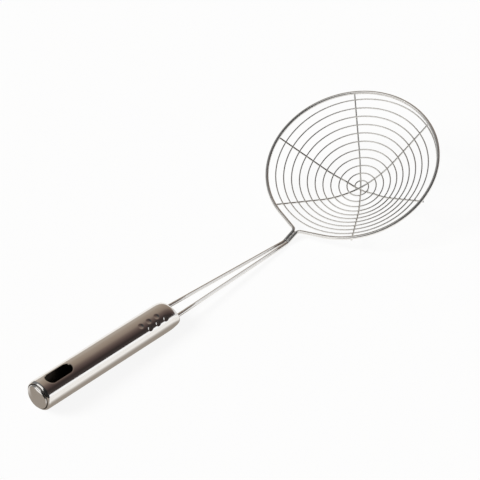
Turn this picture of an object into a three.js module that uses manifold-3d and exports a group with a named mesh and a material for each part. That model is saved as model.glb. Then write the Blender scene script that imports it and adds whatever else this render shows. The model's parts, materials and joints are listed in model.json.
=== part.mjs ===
// A spiral wire strainer: a dish wound from one wire on three crossed ribs, inside a rim wire whose
// two ends run on as stems into a tubular steel handle.
// Millimetres, +Z up, standing as it rests on a table, origin under the middle of its footprint.
import * as THREE from "three";
import { mergeVertices } from "three/addons/utils/BufferGeometryUtils.js";
import Module from "manifold-3d";

const wasm = await Module();
wasm.setup();

const degrees = THREE.MathUtils.degToRad;

// Driving dimensions of the dish
const RIM_RADIUS = 75; // to the middle of the rim wire
const RIM_WIRE = 3;
const RIB_WIRE = 1.6;
const DISH_RADIUS = 66; // round bottom, at the middle of the ribs
const WALL_SLOPE = degrees(33); // straight upper wall against the rim plane
const RIBS = [
  { ends: [degrees(152.7), degrees(334.3)], below: 0 },
  { ends: [degrees(97.4), degrees(270.7)], below: 2 },
  { ends: [degrees(35.9), degrees(217.2)], below: 1 },
]; // bearings of a rib's ends from the side away from the handle, and how many ribs lie over it
const CROSSING_SPAN = 16; // how far from the crossing a lower rib starts to dip
const RIB_TUCK = 0.8; // how far short of the middle of the rim wire a rib ends, so that the rim covers it

// Driving dimensions of the spiral
const SPIRAL_WIRE = 1.2;
const SPIRAL_PITCH = 7.36; // between turns, along a rib
const SPIRAL_START = 3.9; // inner end, along a rib from the crossing
const SPIRAL_END_BEARING = degrees(-55); // where the outer end meets the rim
const RUN_OUT = 2.4; // how far the last stretch leaves its pitch to reach the rim
const RUN_OUT_TURNS = 0.3;

// Driving dimensions of the neck and stems
const RIM_STRAIGHT = degrees(18); // either side of the neck, where the rim leaves its circle and runs straight
const NECK_BEND = 4; // bend radius where the rim turns into the neck
const NECK_LENGTH = 14.9; // along the neck, from the rim bend to the stem bend
const NECK_RISE = 1; // of the stem bend above the rim plane
const STEM_BEND = 9;
const STEM_LENGTH = 140.6; // from the stem bend to the handle's mouth
const STEM_SLOPE = degrees(29.4); // against the rim plane
const STEM_SPACING = 13.4; // between wire middles at the handle's mouth
const MOUTH_BEND = 40;

// Driving dimensions of the handle
const HANDLE_SLOPE = degrees(28); // against the rim plane
const HANDLE_LENGTH = 142.4; // over the end cap
const TUBE_DIAMETER = 24;
const TUBE_WALL = 1;
const NOSE_LENGTH = 12; // stretch over which the tube is pressed flat towards its mouth
const NOSE_SHOULDER = 2.5; // stretch over which its sides are drawn in
const MOUTH_INSET = 1.6; // of each side at the mouth
const MOUTH_HEIGHT = 8.2;
const SLOT_LENGTH = 25;
const SLOT_WIDTH = 10;
const SLOT_FROM_END = 22.4; // middle of the slot to the end of the handle
const SLOT_TURN = degrees(5); // from the top of the handle, to the dimples' side
const DIMPLE_DIAMETER = 4.6;
const DIMPLE_DEPTH = 0.9;
const DIMPLE_PITCH = 8.5;
const DIMPLES_IN_ROW = 3;
const DIMPLE_ROWS = [
  { fromNose: 20.7, turn: degrees(24) },
  { fromNose: 16.7, turn: degrees(51) },
]; // first dimple of each row, and the row's turn from the top of the handle
const CAP_LAND = 0.4; // straight side of the end cap beyond the tube
const CAP_EDGE = 3.6; // radius of its rounded edge
const CAP_CROWN = 0.4; // dome height inside that edge
const CAP_FLAT_DIAMETER = 10;
const CAP_SKIRT = 4; // depth inside the tube
const CAP_WALL = 1;
const PLUG_INSET = 1; // behind the nose
const PLUG_LENGTH = 32;
const PLUG_CHAMFER = 1;

// Clearance between pieces that are welded, pressed or plugged together
const SEAT_GAP = 0.3;

// Facets
const ROUND_SEGMENTS = 36;
const RIM_STEPS = 60;
const RIM_SIDES = 8;
const RIB_STEPS = 28;
const RIB_SIDES = 6;
const SPIRAL_STEPS = 24; // in one turn
const SPIRAL_SIDES = 6;
const BEND_STEPS = 6;
const BALL_SEGMENTS = [16, 10];
const BORE_SEGMENTS = 16;
const SLOT_END_SEGMENTS = 8;
const CURVE_STEPS = 6;
const MERGE_DISTANCE = 1e-4;
const TILT_PASSES = 8;

// Finishes
const polishedSteel = new THREE.MeshStandardMaterial({ color: 0xb9b2aa, roughness: 0.16, metalness: 1 });
const drawnWire = new THREE.MeshStandardMaterial({ color: 0xa8a29b, roughness: 0.28, metalness: 1 });
const plugPlastic = new THREE.MeshStandardMaterial({ color: 0x2c2c2e, roughness: 0.6, metalness: 0 });

// Solids and meshes

function solidOf(geometry) {
  const bare = geometry.clone();
  bare.deleteAttribute("normal");
  bare.deleteAttribute("uv");
  const merged = mergeVertices(bare, MERGE_DISTANCE);
  const corners = merged.index.array;
  const triangles = [];
  for (let i = 0; i < corners.length; i += 3) {
    const [a, b, c] = [corners[i], corners[i + 1], corners[i + 2]];
    if (a !== b && b !== c && c !== a) triangles.push(a, b, c);
  }
  const mesh = new wasm.Mesh({
    numProp: 3,
    vertProperties: new Float32Array(merged.attributes.position.array),
    triVerts: new Uint32Array(triangles),
  });
  return new wasm.Manifold(mesh);
}

function solidFrom(positions, faces) {
  const geometry = new THREE.BufferGeometry();
  geometry.setAttribute("position", new THREE.Float32BufferAttribute(positions, 3));
  geometry.setIndex(faces);
  return solidOf(geometry);
}

function geometryOf(solid) {
  const mesh = solid.getMesh();
  const geometry = new THREE.BufferGeometry();
  geometry.setAttribute("position", new THREE.BufferAttribute(new Float32Array(mesh.vertProperties), 3));
  geometry.setIndex(new THREE.BufferAttribute(new Uint32Array(mesh.triVerts), 1));
  geometry.computeVertexNormals();
  return geometry;
}

function piece(name, solid, material) {
  const mesh = new THREE.Mesh(geometryOf(solid), material);
  mesh.name = name;
  return mesh;
}

// A profile of [radius, height] points turned round the Y axis
function turned(profile) {
  const points = profile.map(([radius, height]) => new THREE.Vector2(radius, height));
  return solidOf(new THREE.LatheGeometry(points, ROUND_SEGMENTS));
}

// A sleeve about the Y axis: oval rings, each joined to the next and the last to the first
function sleeve(rings) {
  const positions = [];
  const faces = [];
  rings.forEach(({ along, across, up }, i) => {
    const [here, next] = [i * ROUND_SEGMENTS, ((i + 1) % rings.length) * ROUND_SEGMENTS];
    for (let k = 0; k < ROUND_SEGMENTS; k++) {
      const angle = (2 * Math.PI * k) / ROUND_SEGMENTS;
      const beside = (k + 1) % ROUND_SEGMENTS;
      positions.push(across * Math.sin(angle), along, up * Math.cos(angle));
      faces.push(here + k, here + beside, next + beside, here + k, next + beside, next + k);
    }
  });
  return solidFrom(positions, faces);
}

// Points of a quarter of an ellipse about a centre, from one angle to another
function ellipseArc(centre, radii, from, to) {
  return Array.from({ length: CURVE_STEPS + 1 }, (_, i) => {
    const angle = from + ((to - from) * i) / CURVE_STEPS;
    return [centre[0] + radii[0] * Math.cos(angle), centre[1] + radii[1] * Math.sin(angle)];
  });
}

function ball(radius, centre) {
  return solidOf(new THREE.SphereGeometry(radius, ...BALL_SEGMENTS).translate(centre.x, centre.y, centre.z));
}

// A round wire along points: one closed tube with flat ends, carried along without twist
function wireAlong(points, diameter, sides) {
  const last = points.length - 1;
  const positions = [];
  const faces = [];
  const side = new THREE.Vector3();
  const before = new THREE.Vector3();
  const turn = new THREE.Quaternion();
  points.forEach((point, i) => {
    const along = points[Math.min(i + 1, last)].clone().sub(points[Math.max(i - 1, 0)]).normalize();
    if (i === 0) side.set(0, 0, 1).cross(along).normalize();
    else side.applyQuaternion(turn.setFromUnitVectors(before, along));
    before.copy(along);
    for (let k = 0; k < sides; k++) {
      const spoke = side.clone().applyAxisAngle(along, (2 * Math.PI * k) / sides);
      positions.push(...point.clone().addScaledVector(spoke, diameter / 2).toArray());
    }
  });
  for (let i = 0; i < last; i++) {
    for (let k = 0; k < sides; k++) {
      const [a, b] = [i * sides + k, i * sides + ((k + 1) % sides)];
      faces.push(a, b, b + sides, a, b + sides, a + sides);
    }
  }
  for (let k = 1; k < sides - 1; k++) {
    const end = last * sides;
    faces.push(0, k + 1, k, end, end + k, end + k + 1);
  }
  return solidFrom(positions, faces);
}

// The corner points of a bent wire, with an arc of the given radius at each inner corner
function bentPath(corners, radii) {
  const path = [corners[0]];
  for (let i = 1; i < corners.length - 1; i++) {
    const into = corners[i].clone().sub(corners[i - 1]).normalize();
    const out = corners[i + 1].clone().sub(corners[i]).normalize();
    const angle = into.angleTo(out);
    const axis = new THREE.Vector3().crossVectors(into, out).normalize();
    const start = corners[i].clone().addScaledVector(into, -radii[i - 1] * Math.tan(angle / 2));
    const centre = start.clone().addScaledVector(new THREE.Vector3().crossVectors(axis, into), radii[i - 1]);
    for (let k = 0; k <= BEND_STEPS; k++) {
      const spoke = start.clone().sub(centre).applyAxisAngle(axis, (angle * k) / BEND_STEPS);
      path.push(centre.clone().add(spoke));
    }
  }
  path.push(corners[corners.length - 1]);
  return path;
}

// The dish: its surface is where the middles of the ribs lie

const rimLift = (RIM_WIRE + RIB_WIRE) / 2 + SEAT_GAP; // rim over the ribs
const spiralLift = (SPIRAL_WIRE + RIB_WIRE) / 2 + SEAT_GAP; // spiral over the ribs
const roundRun = DISH_RADIUS * WALL_SLOPE;
const ribEndRadius = RIM_RADIUS + rimLift * Math.sin(WALL_SLOPE);
const wallRun = (ribEndRadius - DISH_RADIUS * Math.sin(WALL_SLOPE)) / Math.cos(WALL_SLOPE);
const ribRun = roundRun + wallRun;
const dishCentre = (DISH_RADIUS - rimLift) * Math.cos(WALL_SLOPE) - wallRun * Math.sin(WALL_SLOPE);

// A point at a distance along a rib from the crossing, lifted inwards from the dish, on a bearing
function dishPoint(run, lift, bearing) {
  const slope = Math.min(run / DISH_RADIUS, WALL_SLOPE);
  const wall = Math.max(run - roundRun, 0);
  const radius = (DISH_RADIUS - lift) * Math.sin(slope) + wall * Math.cos(WALL_SLOPE);
  const height = dishCentre - (DISH_RADIUS - lift) * Math.cos(slope) + wall * Math.sin(WALL_SLOPE);
  return new THREE.Vector3(radius * Math.cos(bearing), radius * Math.sin(bearing), height);
}

function ribSolid({ ends, below }) {
  const dip = below * (RIB_WIRE + SEAT_GAP);
  const reach = ribRun - RIB_TUCK;
  const points = Array.from({ length: RIB_STEPS + 1 }, (_, i) => {
    const run = reach * ((2 * i) / RIB_STEPS - 1);
    const near = Math.max(1 - (run / CROSSING_SPAN) ** 2, 0) ** 2;
    const point = dishPoint(Math.abs(run), 0, run < 0 ? ends[1] : ends[0]);
    return point.setZ(point.z - dip * near);
  });
  return wireAlong(points, RIB_WIRE, RIB_SIDES);
}

// The spiral winds outwards clockwise, seen from above, and its outer end lies against the rim
function spiralPath() {
  const rimReach = (RIM_WIRE + SPIRAL_WIRE) / 2 + SEAT_GAP;
  const endRun = ribRun - Math.sqrt(rimReach ** 2 - (rimLift - spiralLift) ** 2);
  const turns = (endRun - RUN_OUT - SPIRAL_START) / SPIRAL_PITCH;
  const steps = Math.ceil(turns * SPIRAL_STEPS);
  return Array.from({ length: steps + 1 }, (_, i) => {
    const turn = (turns * i) / steps;
    const ease = THREE.MathUtils.smoothstep(turn, turns - RUN_OUT_TURNS, turns);
    const run = SPIRAL_START + SPIRAL_PITCH * turn + RUN_OUT * ease;
    return dishPoint(run, spiralLift, SPIRAL_END_BEARING + (turns - turn) * 2 * Math.PI);
  });
}

// Least gap between stretches of a wound wire that lie half a turn or more apart along it
function leastSelfGap(points, diameter, stepsInTurn) {
  let least = Infinity;
  points.forEach((point, i) => {
    for (let k = i + Math.round(stepsInTurn / 2); k < points.length; k++) {
      least = Math.min(least, point.distanceTo(points[k]));
    }
  });
  return least - diameter;
}

// The handle's own frame: Y from its mouth to its end, Z to its top, X across

const tubeRadius = TUBE_DIAMETER / 2;
const boreRadius = tubeRadius - TUBE_WALL;
const mouthAcross = tubeRadius - MOUTH_INSET;
const mouthUp = MOUTH_HEIGHT / 2;
const capShoulder = HANDLE_LENGTH - CAP_CROWN - CAP_EDGE - CAP_LAND;
const tubeEnd = capShoulder - SEAT_GAP;
const plugRadius = boreRadius - SEAT_GAP;
const plugStart = NOSE_LENGTH + PLUG_INSET;
const plugEnd = plugStart + PLUG_LENGTH;
const dimpleBall = (DIMPLE_DIAMETER ** 2 / 4 + DIMPLE_DEPTH ** 2) / (2 * DIMPLE_DEPTH);

// Centres of the balls that press the dimples
function dimpleCentres() {
  const reach = tubeRadius - DIMPLE_DEPTH + dimpleBall;
  return DIMPLE_ROWS.flatMap(({ fromNose, turn }) =>
    Array.from({ length: DIMPLES_IN_ROW }, (_, i) => {
      const along = fromNose + i * DIMPLE_PITCH;
      return new THREE.Vector3(-reach * Math.sin(turn), along, reach * Math.cos(turn));
    }),
  );
}

// How far a quarter of an ellipse has risen at a share of its length
const quarterRise = (share) => Math.sqrt(1 - (1 - THREE.MathUtils.clamp(share, 0, 1)) ** 2);

// Rings of one surface of the nose, from where it starts at the mouth to the round tube
function noseRings(radius, start) {
  return Array.from({ length: CURVE_STEPS + 1 }, (_, i) => {
    const along = start + (NOSE_LENGTH - start) * (1 - Math.cos((Math.PI * i) / (2 * CURVE_STEPS)));
    const widened = quarterRise((along - start) / (NOSE_SHOULDER - start));
    const raised = quarterRise((along - start) / (NOSE_LENGTH - start));
    return {
      along,
      across: mouthAcross + (radius - mouthAcross) * widened,
      up: mouthUp + (radius - mouthUp) * raised,
    };
  });
}

function tubeSolid() {
  const middle = tubeRadius - TUBE_WALL / 2;
  const core = turned([[0, 0], [middle, 0], [middle, tubeEnd], [0, tubeEnd]]);
  let solid = sleeve([
    ...noseRings(tubeRadius, 0),
    { along: tubeEnd, across: tubeRadius, up: tubeRadius },
    { along: tubeEnd, across: boreRadius, up: boreRadius },
    ...noseRings(boreRadius, TUBE_WALL).reverse(),
  ]);
  for (const centre of dimpleCentres()) {
    solid = solid.add(ball(dimpleBall + TUBE_WALL, centre).intersect(core));
  }
  for (const centre of dimpleCentres()) solid = solid.subtract(ball(dimpleBall, centre));
  return solid.subtract(slotSolid());
}

// The hanging slot, cut straight through both walls
function slotSolid() {
  const outline = new THREE.Shape();
  const radius = SLOT_WIDTH / 2;
  const straight = (SLOT_LENGTH - SLOT_WIDTH) / 2;
  outline.absarc(0, straight, radius, 0, Math.PI);
  outline.absarc(0, -straight, radius, Math.PI, 2 * Math.PI);
  outline.closePath();
  const depth = 2 * TUBE_DIAMETER;
  const curveSegments = SLOT_END_SEGMENTS;
  const cutter = new THREE.ExtrudeGeometry(outline, { depth, bevelEnabled: false, curveSegments });
  return solidOf(cutter.translate(0, HANDLE_LENGTH - SLOT_FROM_END, -depth / 2).rotateY(-SLOT_TURN));
}

// A drawn cup: low dome with a flat middle, rounded edge, and a skirt inside the tube
function capSolid() {
  const skirtOuter = boreRadius - SEAT_GAP;
  const skirtInner = skirtOuter - CAP_WALL;
  const edgeTop = HANDLE_LENGTH - CAP_CROWN;
  return turned([
    [0, edgeTop - CAP_WALL],
    [skirtInner, edgeTop - CAP_WALL],
    [skirtInner, capShoulder - CAP_SKIRT],
    [skirtOuter, capShoulder - CAP_SKIRT],
    [skirtOuter, capShoulder],
    [tubeRadius, capShoulder],
    ...ellipseArc([tubeRadius - CAP_EDGE, edgeTop - CAP_EDGE], [CAP_EDGE, CAP_EDGE], 0, Math.PI / 2),
    [CAP_FLAT_DIAMETER / 2, HANDLE_LENGTH],
    [0, HANDLE_LENGTH],
  ]);
}

// The insert that the dimples grip, bored for the two stems
function plugSolid() {
  let solid = turned([
    [0, plugStart],
    [plugRadius - PLUG_CHAMFER, plugStart],
    [plugRadius, plugStart + PLUG_CHAMFER],
    [plugRadius, plugEnd],
    [0, plugEnd],
  ]);
  const bore = RIM_WIRE + 2 * SEAT_GAP;
  for (const side of [-1, 1]) {
    const middle = (side * STEM_SPACING) / 2;
    const drill = new THREE.CylinderGeometry(bore / 2, bore / 2, 2 * PLUG_LENGTH, BORE_SEGMENTS);
    solid = solid.subtract(solidOf(drill.translate(middle, plugEnd - PLUG_LENGTH / 2, 0)));
  }
  for (const centre of dimpleCentres()) {
    solid = solid.subtract(ball(dimpleBall + TUBE_WALL + SEAT_GAP, centre));
  }
  return solid;
}

// Where the handle sits against the rim: stems first, then the handle from its mouth

const neckOffset = (RIM_WIRE + SEAT_GAP) / 2;
const straightRun = (RIM_RADIUS * Math.sin(RIM_STRAIGHT) - neckOffset) / Math.cos(RIM_STRAIGHT);
const neckStart = -RIM_RADIUS * Math.cos(RIM_STRAIGHT) - straightRun * Math.sin(RIM_STRAIGHT);
const stemBend = new THREE.Vector3(neckStart - NECK_LENGTH, 0, NECK_RISE);
const stemWay = new THREE.Vector3(-Math.cos(STEM_SLOPE), 0, Math.sin(STEM_SLOPE));
const handleWay = new THREE.Vector3(-Math.cos(HANDLE_SLOPE), 0, Math.sin(HANDLE_SLOPE));
const handleTop = new THREE.Vector3(Math.sin(HANDLE_SLOPE), 0, Math.cos(HANDLE_SLOPE));
const mouth = stemBend.clone().addScaledVector(stemWay, STEM_LENGTH);

// One half of the rim wire's tail: from inside the plug, along a stem and the neck, to the rim
function tailPath(side) {
  const across = new THREE.Vector3(0, side, 0);
  const inHandle = (along) =>
    mouth.clone().addScaledVector(handleWay, along).addScaledVector(across, STEM_SPACING / 2);
  const corners = [
    inHandle(plugEnd),
    inHandle(0),
    stemBend.clone().addScaledVector(across, neckOffset),
    new THREE.Vector3(neckStart, side * neckOffset, 0),
    rimPoint(side * (Math.PI - RIM_STRAIGHT)),
  ];
  return bentPath(corners, [MOUTH_BEND, STEM_BEND, NECK_BEND]);
}

function rimPoint(bearing) {
  return new THREE.Vector3(RIM_RADIUS * Math.cos(bearing), RIM_RADIUS * Math.sin(bearing), 0);
}

function rimSolid() {
  const hoop = [];
  for (let i = 1; i < RIM_STEPS; i++) {
    hoop.push(rimPoint((Math.PI - RIM_STRAIGHT) * (1 - (2 * i) / RIM_STEPS)));
  }
  return wireAlong([...tailPath(1), ...hoop, ...tailPath(-1).reverse()], RIM_WIRE, RIM_SIDES);
}

// The tilt at which the rib nearest the handle and the underside of the nose stand on one table.
// That rib lies off the line of the tilt, so its underside is worked out again at each better tilt.
function restTilt() {
  const pressed = tubeRadius - mouthUp;
  const edge = mouth.clone().addScaledVector(handleWay, NOSE_LENGTH).addScaledVector(handleTop, -mouthUp);
  const reach = Math.hypot(edge.x, dishCentre - edge.z);
  const lean = Math.atan2(edge.z - dishCentre, -edge.x);
  const nearestRib = Math.min(...RIBS.flatMap(({ ends }) => ends.map((bearing) => Math.abs(Math.PI - bearing))));
  let tilt = lean;
  for (let pass = 0; pass < TILT_PASSES; pass++) {
    const underside = Math.hypot(Math.cos(tilt), Math.sin(tilt) * Math.cos(nearestRib));
    tilt = lean + Math.asin(((DISH_RADIUS + RIB_WIRE / 2) * underside - pressed) / reach);
  }
  return tilt;
}

// Assembly, built with the rim flat and then stood as it rests

const spiral = spiralPath();
const selfGap = leastSelfGap(spiral, SPIRAL_WIRE, SPIRAL_STEPS);
console.log(`least gap of the spiral to itself: ${selfGap.toFixed(2)} mm`);

const dish = new THREE.Group();
dish.add(piece("rim_wire", rimSolid(), drawnWire));
RIBS.forEach((rib, index) => dish.add(piece(`rib_${index + 1}`, ribSolid(rib), drawnWire)));
dish.add(piece("spiral_wire", wireAlong(spiral, SPIRAL_WIRE, SPIRAL_SIDES), drawnWire));

const handle = new THREE.Group();
handle.add(piece("handle_tube", tubeSolid(), polishedSteel));
handle.add(piece("end_cap", capSolid(), polishedSteel));
handle.add(piece("wire_plug", plugSolid(), plugPlastic));
const across = new THREE.Vector3().crossVectors(handleWay, handleTop);
handle.applyMatrix4(new THREE.Matrix4().makeBasis(across, handleWay, handleTop).setPosition(mouth));

const tool = new THREE.Group();
tool.add(dish, handle);
tool.rotation.y = -restTilt();

const strainer = new THREE.Group();
strainer.add(tool);
const reach = new THREE.Box3().setFromObject(strainer, true);
const middle = reach.getCenter(new THREE.Vector3());
tool.position.set(-middle.x, -middle.y, -reach.min.z);

export default strainer;
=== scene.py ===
"""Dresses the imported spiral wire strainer: its dish of wound wire, its steel handle and a small studio."""

import json
import logging
import math
from dataclasses import dataclass
from enum import Enum

import bmesh
import bpy
import numpy as np
from mathutils import Matrix, Vector


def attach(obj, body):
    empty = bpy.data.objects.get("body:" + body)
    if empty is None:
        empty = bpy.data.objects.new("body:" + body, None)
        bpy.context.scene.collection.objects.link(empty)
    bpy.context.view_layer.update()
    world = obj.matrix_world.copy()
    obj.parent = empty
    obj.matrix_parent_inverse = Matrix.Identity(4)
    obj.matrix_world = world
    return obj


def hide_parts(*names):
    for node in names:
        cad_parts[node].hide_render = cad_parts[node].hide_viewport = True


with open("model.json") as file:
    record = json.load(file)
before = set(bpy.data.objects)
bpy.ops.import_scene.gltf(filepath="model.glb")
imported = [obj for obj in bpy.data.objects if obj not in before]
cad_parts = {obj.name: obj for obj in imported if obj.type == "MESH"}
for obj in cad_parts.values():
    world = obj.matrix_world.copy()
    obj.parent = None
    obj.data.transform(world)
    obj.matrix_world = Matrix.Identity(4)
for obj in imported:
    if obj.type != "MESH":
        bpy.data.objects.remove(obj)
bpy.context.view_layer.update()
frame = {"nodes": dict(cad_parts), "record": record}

LOG = logging.getLogger("strainer")
ROOT_BODY = "root"
WIRE_SPACE = "wire_space"
WIRE_INPUTS = ("Diameter", "Sides", "Material")
MM = 0.001
QUARTER_TURN = math.pi / 2
HALF_TURN = math.pi
FULL_TURN = math.tau
UP = Vector((0.0, 0.0, 1.0))
ACROSS = Vector((0.0, 1.0, 0.0))

Colour = tuple[float, float, float]
Point = tuple[float, float, float]
Span = tuple[float, float]
Thing = bpy.types.Object
Material = bpy.types.Material
Socket = bpy.types.NodeSocket
Term = Socket | float | int


class Slot(Enum):
    """The record's material slots."""

    HANDLE = "handle_steel"
    RIM = "rim_steel"
    WIRE = "wire_steel"
    PLUG = "plug_plastic"


class TreeKind(Enum):
    """The kinds of node group that the script builds."""

    GEOMETRY = "GeometryNodeTree"
    SHADER = "ShaderNodeTree"


class SocketKind(Enum):
    """The kinds of socket on those groups."""

    FLOAT = "NodeSocketFloat"
    COUNT = "NodeSocketInt"
    VECTOR = "NodeSocketVector"
    SHAPE = "NodeSocketGeometry"
    MATERIAL = "NodeSocketMaterial"


class Grain(Enum):
    """What a finish's lines follow."""

    HANDLE = "along the handle"
    WIRE = "along the wire"
    PLAIN = "all over"


class Nodes:
    """Adds nodes to a tree, sets their sockets and joins them."""

    MIX_A = 6
    MIX_B = 7
    MIX_RESULT = 2
    RANGE_ENDS = ("Value", "From Min", "From Max", "To Min", "To Max")

    def __init__(self, tree: bpy.types.NodeTree) -> None:
        """Works on the given tree."""
        self.tree = tree

    @classmethod
    def start(cls, owner: Material | bpy.types.World) -> "Nodes":
        """Gives a material or a world an empty tree.

        Args:
            owner: the material or the world.

        Returns:
            The tree's nodes.
        """
        owner.use_nodes = True
        owner.node_tree.nodes.clear()
        return cls(owner.node_tree)

    def add(self, kind: str, sockets: dict, **settings: object) -> bpy.types.Node:
        """Adds one node.

        Args:
            kind: the node's type name.
            sockets: what each input takes, by name or number: another node's output or a plain value.
            settings: the node's own properties.

        Returns:
            The new node.
        """
        node = self.tree.nodes.new(kind)
        for name, value in settings.items():
            setattr(node, name, value)
        for key, value in sockets.items():
            if isinstance(value, Socket):
                self.tree.links.new(value, node.inputs[key])
            else:
                node.inputs[key].default_value = value
        return node

    def math(self, operation: str, *terms: Term) -> Socket:
        """Adds one arithmetic step, such as ADD or SINE, and gives its result."""
        return self.add("ShaderNodeMath", dict(enumerate(terms)), operation=operation).outputs[0]

    def vector(self, x: Term, y: Term, z: Term) -> Socket:
        """Joins three numbers into one vector."""
        return self.add("ShaderNodeCombineXYZ", {"X": x, "Y": y, "Z": z}).outputs[0]

    def fit(self, value: Term, source: tuple, target: tuple, easing: str = "LINEAR") -> Socket:
        """Carries a number from one range to another, each given by its two ends."""
        ends = dict(zip(self.RANGE_ENDS, (value, *source, *target)))
        return self.add("ShaderNodeMapRange", ends, interpolation_type=easing).outputs["Result"]

    def mix(self, share: Term, first: object, second: object) -> Socket:
        """Mixes two colours.

        Args:
            share: how much of the second colour shows.
            first: a colour or a socket.
            second: a colour or a socket.

        Returns:
            The socket with the mixed colour.
        """
        colours = [c if isinstance(c, Socket) else (*c, 1.0) for c in (first, second)]
        sockets = {0: share, self.MIX_A: colours[0], self.MIX_B: colours[1]}
        return self.add("ShaderNodeMix", sockets, data_type="RGBA").outputs[self.MIX_RESULT]

    def place(self, group: "Group", sockets: dict) -> Socket:
        """Places a group in this tree, with what its inputs take, and gives its first output."""
        kind = "ShaderNodeGroup" if self.tree.type == "SHADER" else "GeometryNodeGroup"
        return self.add(kind, sockets, node_tree=group.tree).outputs[0]


class Group(Nodes):
    """A node group of its own, with named inputs and outputs."""

    def __init__(self, name: str, kind: TreeKind) -> None:
        """Starts an empty group of that name and kind.

        Args:
            name: the group's name.
            kind: its kind of tree.
        """
        super().__init__(bpy.data.node_groups.new(name, kind.value))
        self.entry = self.tree.nodes.new("NodeGroupInput")
        self.leave = self.tree.nodes.new("NodeGroupOutput")

    def takes(self, kind: SocketKind, *names: str) -> list[Socket]:
        """Adds inputs of one kind.

        Args:
            kind: the kind of all of them.
            names: their names.

        Returns:
            The sockets inside the group, in the same order.
        """
        for name in names:
            self.tree.interface.new_socket(name, in_out="INPUT", socket_type=kind.value)
        return [self.entry.outputs[name] for name in names]

    def gives(self, kind: SocketKind, name: str, source: Socket) -> None:
        """Adds one output, fed by the given socket."""
        self.tree.interface.new_socket(name, in_out="OUTPUT", socket_type=kind.value)
        self.tree.links.new(source, self.leave.inputs[name])

    def takes_wire(self) -> list[Socket]:
        """Adds the inputs that every wire has: its diameter, its number of sides and its finish."""
        kinds = (SocketKind.FLOAT, SocketKind.COUNT, SocketKind.MATERIAL)
        return [self.takes(kind, name)[0] for kind, name in zip(kinds, WIRE_INPUTS)]

    def stored(self, shape: Socket, name: str, value: Socket, kind: str = "FLOAT") -> Socket:
        """Stores a value of the given kind on each point of a shape, and gives the shape."""
        sockets = {"Geometry": shape, "Name": name, "Value": value}
        return self.add("GeometryNodeStoreNamedAttribute", sockets, data_type=kind).outputs[0]

    def kept(self, name: str) -> Socket:
        """Reads a stored value back."""
        return self.add("GeometryNodeInputNamedAttribute", {"Name": name}).outputs[0]

    def dressed(self, shape: Socket, material: Socket) -> Socket:
        """Ends a tree: real geometry with its finish."""
        real = self.add("GeometryNodeRealizeInstances", {"Geometry": shape}).outputs[0]
        return self.add("GeometryNodeSetMaterial", {"Geometry": real, "Material": material}).outputs[0]

    def line(self, steps: Socket) -> tuple[Socket, Socket]:
        """Starts a wire's path.

        Args:
            steps: how many points the path has.

        Returns:
            The bare path, and how far along it each point is, from 0 to 1.
        """
        bare = self.add("GeometryNodeCurvePrimitiveLine", {}).outputs[0]
        path = self.add("GeometryNodeResampleCurve", {"Curve": bare, "Count": steps}).outputs[0]
        place = self.add("GeometryNodeInputIndex", {}).outputs[0]
        return path, self.math("DIVIDE", place, self.math("SUBTRACT", steps, 1.0))


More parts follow.
